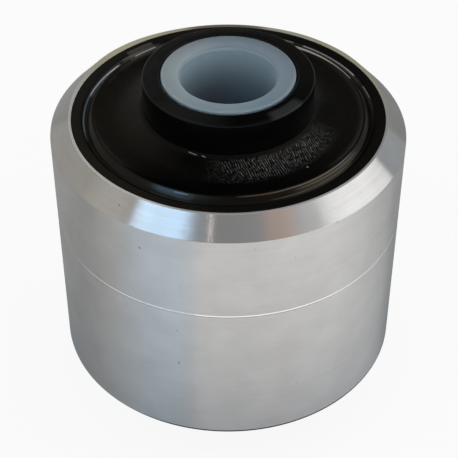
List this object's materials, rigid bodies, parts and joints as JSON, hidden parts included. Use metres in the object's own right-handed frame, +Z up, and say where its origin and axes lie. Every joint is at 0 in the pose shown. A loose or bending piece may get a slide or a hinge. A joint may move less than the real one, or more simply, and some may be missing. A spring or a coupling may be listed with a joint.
{
  "type": "rubber metal bush",
  "caption": "Press-in bush for a pivot pin: a chamfered aluminium ring round a sleeve, bonded rubber, a thick tube and a pale liner with a plain through bore.",
  "frame": {"origin": "centre of the liner's lower end face, where the bush stands", "axes": "+Z up along the pin, from the lower end to the end that the picture shows; X and Y across it"},
  "size_m": [0.09, 0.09, 0.0982],
  "materials": {
    "aluminium": "turned, with fine marks round it, chamfer cut brighter",
    "black_steel": "thin satin black coat",
    "rubber": "smooth moulded rubber, glossy in the groove, finely wrinkled on the slope",
    "nylon": "milky, slightly translucent, smooth"
  },
  "bodies": {
    "root": {"outer_ring": "aluminium", "steel_sleeve": "black_steel", "rubber_body": "rubber", "inner_tube": "black_steel", "nylon_liner": "nylon"}
  },
  "joints": []
}
